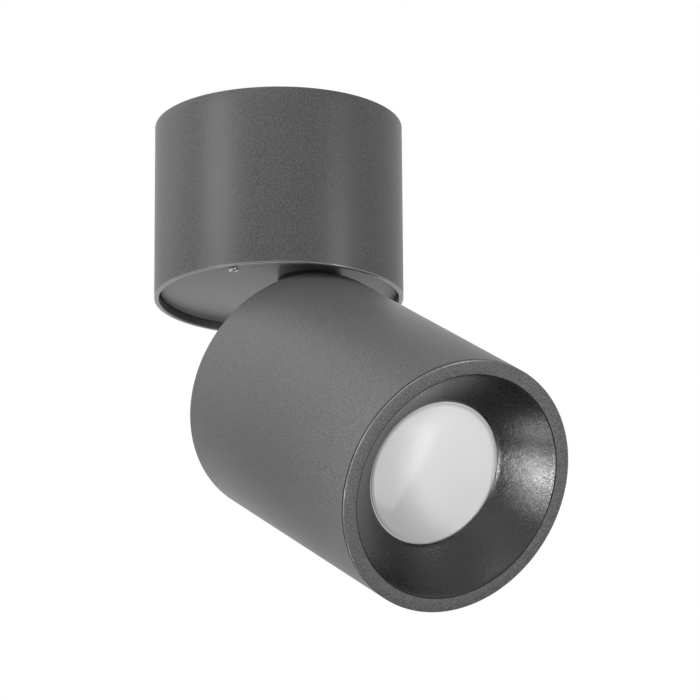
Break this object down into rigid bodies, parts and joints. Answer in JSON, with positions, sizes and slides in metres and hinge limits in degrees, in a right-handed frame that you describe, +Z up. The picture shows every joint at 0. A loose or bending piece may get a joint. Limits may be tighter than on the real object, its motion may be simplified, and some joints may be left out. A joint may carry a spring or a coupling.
{
  "type": "surface mounted ceiling spotlight",
  "caption": "Round surface mounted ceiling spotlight: a short cylindrical canopy with a recessed swivelling plate and an equally wide cylindrical head that tilts on a corner hinge.",
  "frame": {"origin": "centre of the canopy's top rim in the ceiling plane, on the axis of the cable entry", "axes": "+Z up into the ceiling, +X to the side to which the head tilts, +Y along the tilt hinge"},
  "size_m": [0.152, 0.08, 0.1746],
  "materials": {
    "powder_coat": "fine textured satin powder coat on aluminium",
    "black_coat": "satin black coat on a zinc casting",
    "zinc_steel": "zinc plated sheet steel",
    "bright_steel": "nickel plated steel",
    "brass_parts": "turned brass",
    "connector_plastic": "moulded",
    "nylon": "moulded",
    "bush_rubber": "moulded",
    "lead_sleeve": "silicone sleeve",
    "earth_sleeve": "silicone sleeve",
    "holder_ceramic": "unglazed",
    "lamp_housing": "moulded",
    "opal_cover": "opal diffuser, satin"
  },
  "bodies": {
    "canopy": {"ceiling_bracket": "zinc_steel", "canopy_tube": "powder_coat", "side_screws": "bright_steel", "swivel_bridge": "zinc_steel", "bridge_screws": "bright_steel", "stop_pin": "bright_steel", "terminal_block": "connector_plastic", "terminal_screws": "brass_parts", "block_screws": "bright_steel", "supply_leads": "lead_sleeve", "earth_lead": "earth_sleeve", "earth_terminal": "bright_steel"},
    "swivel": {"swivel_carrier": "zinc_steel", "glide_ring": "nylon", "bottom_plate": "powder_coat", "plate_screws": "bright_steel", "swivel_nipple": "bright_steel", "wave_washer": "bright_steel", "stop_washer": "zinc_steel", "lock_nut": "bright_steel", "hinge_arm": "black_coat", "arm_screws": "bright_steel", "swivel_leads": "lead_sleeve"},
    "head": {"head_tube": "powder_coat", "rear_cap": "black_coat", "cap_screws": "bright_steel", "hinge_screw": "bright_steel", "hinge_nut": "bright_steel", "friction_washers": "nylon", "lead_bush": "bush_rubber", "head_leads": "lead_sleeve", "holder_bracket": "zinc_steel", "bracket_screws": "bright_steel", "lampholder": "holder_ceramic", "holder_screws": "bright_steel", "lamp_body": "lamp_housing", "lamp_pins": "bright_steel", "lamp_cover": "opal_cover", "front_bezel": "powder_coat"}
  },
  "joints": [
    {"name": "swivel_turn", "type": "hinge", "parent": "canopy", "child": "swivel", "pos_m": [0, 0, -0.048], "axis": [0, 0, 1], "range_deg": [-170, 170]},
    {"name": "head_tilt", "type": "hinge", "parent": "swivel", "child": "head", "pos_m": [0.033, 0, -0.06675], "axis": [0, -1, 0], "range_deg": [-59, 31]}
  ]
}
